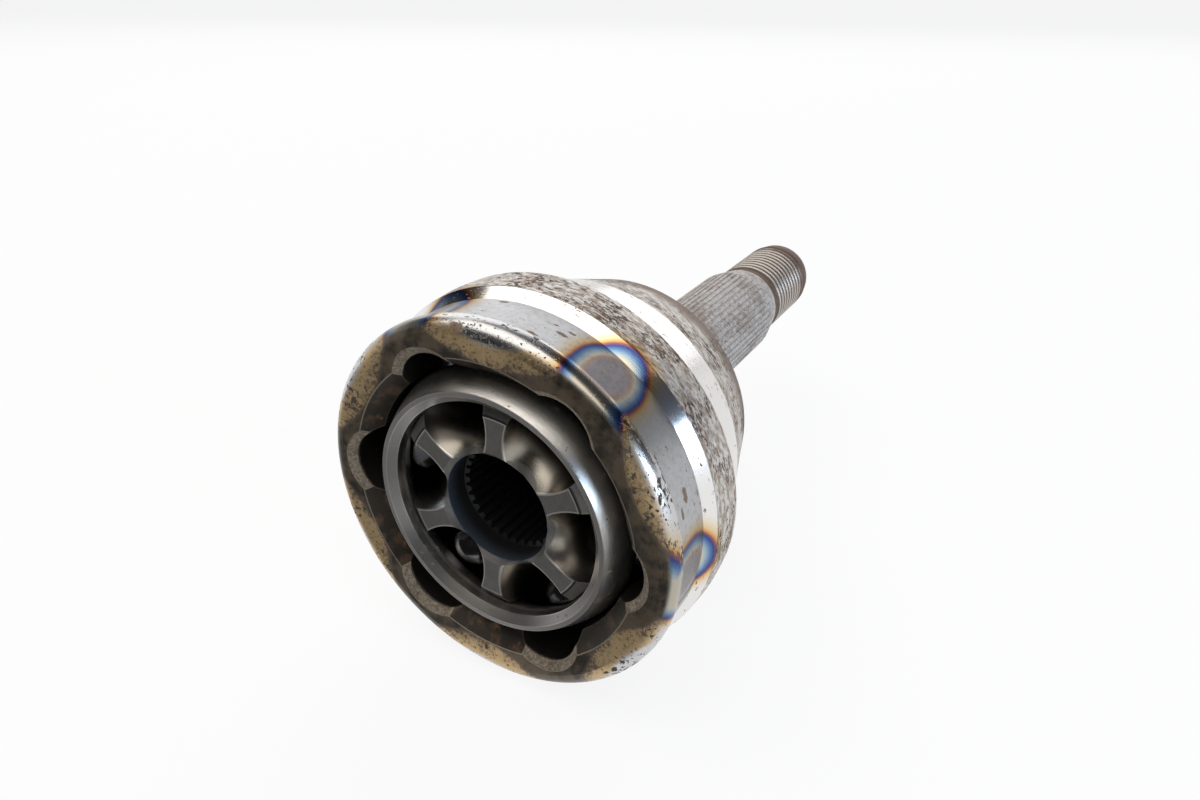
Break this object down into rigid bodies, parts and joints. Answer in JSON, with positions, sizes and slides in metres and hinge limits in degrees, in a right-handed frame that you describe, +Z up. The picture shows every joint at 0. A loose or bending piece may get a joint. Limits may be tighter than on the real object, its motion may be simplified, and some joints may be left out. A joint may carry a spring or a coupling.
{
  "type": "constant velocity joint",
  "caption": "Fixed ball-type constant velocity joint: a bell with curved tracks and a splined stub shaft, holding a swinging splined inner race in a caged ring of balls.",
  "frame": {"origin": "The joint centre: the point on the axis that the inner race and the cage swing about, midway between the two faces of the inner race.", "axes": "+Y along the stub shaft and the joint's axis, away from the mouth; the mouth faces -Y. +Z up with the axis level. The first ball track is 35 degrees from +Z towards +X."},
  "size_m": [0.0912, 0.183, 0.0912],
  "materials": {
    "bell_steel": "forged and part-machined steel, heat tinted over each track, rust specks",
    "cage_steel": "ground steel, satin",
    "race_steel": "hardened steel, dark satin",
    "ball_steel": "polished bearing steel, oiled"
  },
  "bodies": {
    "bell": {"outer_race": "bell_steel"},
    "cage_ring": {"cage": "cage_steel"},
    "inner": {"inner_race": "race_steel"},
    "ball_body_1": {"ball_1": "ball_steel"},
    "ball_body_2": {"ball_2": "ball_steel"},
    "ball_body_3": {"ball_3": "ball_steel"},
    "ball_body_4": {"ball_4": "ball_steel"},
    "ball_body_5": {"ball_5": "ball_steel"},
    "ball_body_6": {"ball_6": "ball_steel"}
  },
  "joints": [
    {"name": "bend", "type": "hinge", "parent": "bell", "child": "inner", "pos_m": [0, 0, 0], "axis": [0, 0, 1], "range_deg": [-45, 45]},
    {"name": "cage_tilt", "type": "hinge", "parent": "bell", "child": "cage_ring", "pos_m": [0, 0, 0], "axis": [0, 0, 1], "range_deg": [-23, 23]},
    {"name": "ball_run_1", "type": "hinge", "parent": "bell", "child": "ball_body_1", "pos_m": [0, -0.0032, 0], "axis": [-0.8192, 0, 0.5736], "range_deg": [-13.9, 13.9]},
    {"name": "ball_run_2", "type": "hinge", "parent": "bell", "child": "ball_body_2", "pos_m": [0, -0.0032, 0], "axis": [0.0872, 0, 0.9962], "range_deg": [-23, 23]},
    {"name": "ball_run_3", "type": "hinge", "parent": "bell", "child": "ball_body_3", "pos_m": [0, -0.0032, 0], "axis": [0.9063, 0, 0.4226], "range_deg": [-10.5, 10.5]},
    {"name": "ball_run_4", "type": "hinge", "parent": "bell", "child": "ball_body_4", "pos_m": [0, -0.0032, 0], "axis": [0.8192, 0, -0.5736], "range_deg": [-13.9, 13.9]},
    {"name": "ball_run_5", "type": "hinge", "parent": "bell", "child": "ball_body_5", "pos_m": [0, -0.0032, 0], "axis": [-0.0872, 0, -0.9962], "range_deg": [-23, 23]},
    {"name": "ball_run_6", "type": "hinge", "parent": "bell", "child": "ball_body_6", "pos_m": [0, -0.0032, 0], "axis": [-0.9063, 0, -0.4226], "range_deg": [-10.5, 10.5]}
  ],
  "couplings": [
    {"joint": "cage_tilt", "follows": "bend", "ratio": 0.5},
    {"joint": "ball_run_1", "follows": "bend", "ratio": 0.296},
    {"joint": "ball_run_2", "follows": "bend", "ratio": 0.4983},
    {"joint": "ball_run_3", "follows": "bend", "ratio": 0.2192},
    {"joint": "ball_run_4", "follows": "bend", "ratio": -0.296},
    {"joint": "ball_run_5", "follows": "bend", "ratio": -0.4983},
    {"joint": "ball_run_6", "follows": "bend", "ratio": -0.2192}
  ]
}
